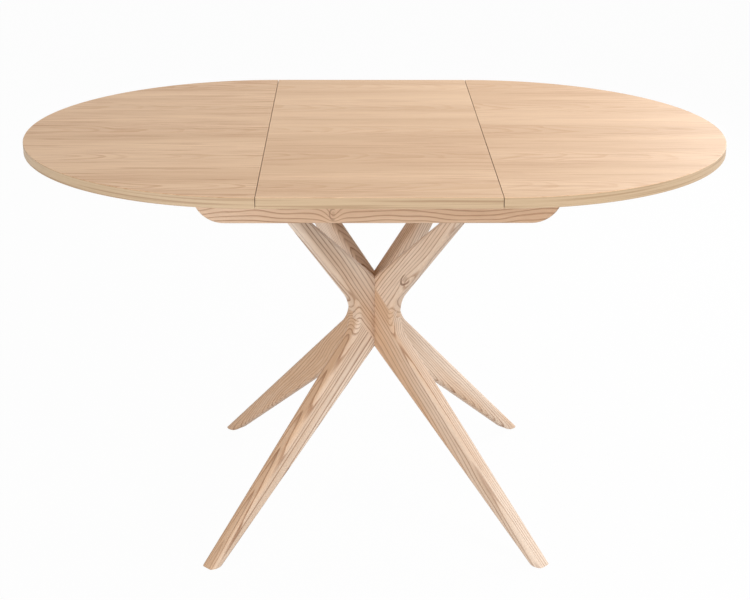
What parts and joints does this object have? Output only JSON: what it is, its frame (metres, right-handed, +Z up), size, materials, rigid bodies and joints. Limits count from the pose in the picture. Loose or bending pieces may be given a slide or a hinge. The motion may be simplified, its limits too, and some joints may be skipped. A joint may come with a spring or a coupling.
{
  "type": "butterfly leaf table",
  "caption": "Extending round-ended dining table on a crossed splayed-leg wooden base, with a folding butterfly leaf on a lift linkage between sliding half tops.",
  "frame": {"origin": "on the floor under the middle of the table", "axes": "+X along the pull-out direction, +Y to the rear away from the front rail, +Z up"},
  "size_m": [1.2998, 0.9, 0.753],
  "materials": {
    "solid_ash": "matt lacquer",
    "veneered_ash": "matt lacquer",
    "rail_ash": "matt lacquer",
    "frame_beech": "sanded",
    "glide_felt": "pressed felt",
    "brass": "satin",
    "steel": "zinc plated"
  },
  "bodies": {
    "base": {"leg_front_left": "solid_ash", "leg_front_right": "solid_ash", "leg_rear_left": "solid_ash", "leg_rear_right": "solid_ash", "arm_front_left": "solid_ash", "arm_front_right": "solid_ash", "arm_rear_left": "solid_ash", "arm_rear_right": "solid_ash", "glide_front_left": "glide_felt", "glide_front_right": "glide_felt", "glide_rear_left": "glide_felt", "glide_rear_right": "glide_felt", "front_rail": "rail_ash", "rear_rail": "rail_ash", "front_bearer": "frame_beech", "rear_bearer": "frame_beech", "left_cross_rail": "frame_beech", "right_cross_rail": "frame_beech", "front_stow_rest": "frame_beech", "rear_stow_rest": "frame_beech", "front_centre_slide": "frame_beech", "rear_centre_slide": "frame_beech", "front_centre_slide_axle": "steel", "rear_centre_slide_axle": "steel", "left_pivot_plate": "steel", "right_pivot_plate": "steel"},
    "left_half": {"left_top": "veneered_ash", "left_front_runner": "frame_beech", "left_front_rack": "steel", "left_rear_runner": "frame_beech", "left_rear_rack": "steel"},
    "right_half": {"right_top": "veneered_ash", "right_front_runner": "frame_beech", "right_front_rack": "steel", "right_rear_runner": "frame_beech", "right_rear_rack": "steel"},
    "front_pinion": {"front_pinion": "steel"},
    "rear_pinion": {"rear_pinion": "steel"},
    "front_swing": {"front_swing_yoke": "steel"},
    "rear_swing": {"rear_swing_yoke": "steel"},
    "leaf_rear_half": {"rear_leaf": "veneered_ash", "front_left_bracket": "steel", "front_right_bracket": "steel", "rear_left_bracket": "steel", "rear_right_bracket": "steel", "rear_leaf_hinge_barrels": "brass"},
    "leaf_front_half": {"front_leaf": "veneered_ash", "front_leaf_hinge_barrels": "brass"}
  },
  "joints": [
    {"name": "left_top_slide", "type": "slide", "parent": "base", "child": "left_half", "axis": [-1, 0, 0], "range_m": [0, 0.04]},
    {"name": "right_top_slide", "type": "slide", "parent": "base", "child": "right_half", "axis": [1, 0, 0], "range_m": [0, 0.04]},
    {"name": "rear_pinion_turn", "type": "hinge", "parent": "base", "child": "rear_pinion", "pos_m": [0, 0.26, 0.7045], "axis": [0, 0, 1], "range_deg": [0, 229.5]},
    {"name": "front_pinion_turn", "type": "hinge", "parent": "base", "child": "front_pinion", "pos_m": [0, -0.26, 0.7045], "axis": [0, 0, -1], "range_deg": [0, 229.5]},
    {"name": "leaf_swing", "type": "hinge", "parent": "base", "child": "front_swing", "pos_m": [0, -0.0025, 0.683], "axis": [1, 0, 0], "range_deg": [0, 180]},
    {"name": "rear_arm_swing", "type": "hinge", "parent": "base", "child": "rear_swing", "pos_m": [0, 0.0975, 0.683], "axis": [1, 0, 0], "range_deg": [0, 180]},
    {"name": "leaf_level", "type": "hinge", "parent": "front_swing", "child": "leaf_rear_half", "pos_m": [0, 0.11, 0.704], "axis": [1, 0, 0], "range_deg": [-180, 0]},
    {"name": "leaf_fold", "type": "hinge", "parent": "leaf_rear_half", "child": "leaf_front_half", "pos_m": [0, 0, 0.7533], "axis": [-1, 0, 0], "range_deg": [0, 180]}
  ],
  "couplings": [
    {"joint": "right_top_slide", "follows": "left_top_slide", "ratio": 1},
    {"joint": "rear_pinion_turn", "follows": "left_top_slide", "rad_per_m": 100},
    {"joint": "front_pinion_turn", "follows": "left_top_slide", "rad_per_m": 100},
    {"joint": "rear_arm_swing", "follows": "leaf_swing", "ratio": 1},
    {"joint": "leaf_level", "follows": "leaf_swing", "ratio": -1},
    {"joint": "leaf_fold", "follows": "leaf_swing", "ratio": 1}
  ]
}
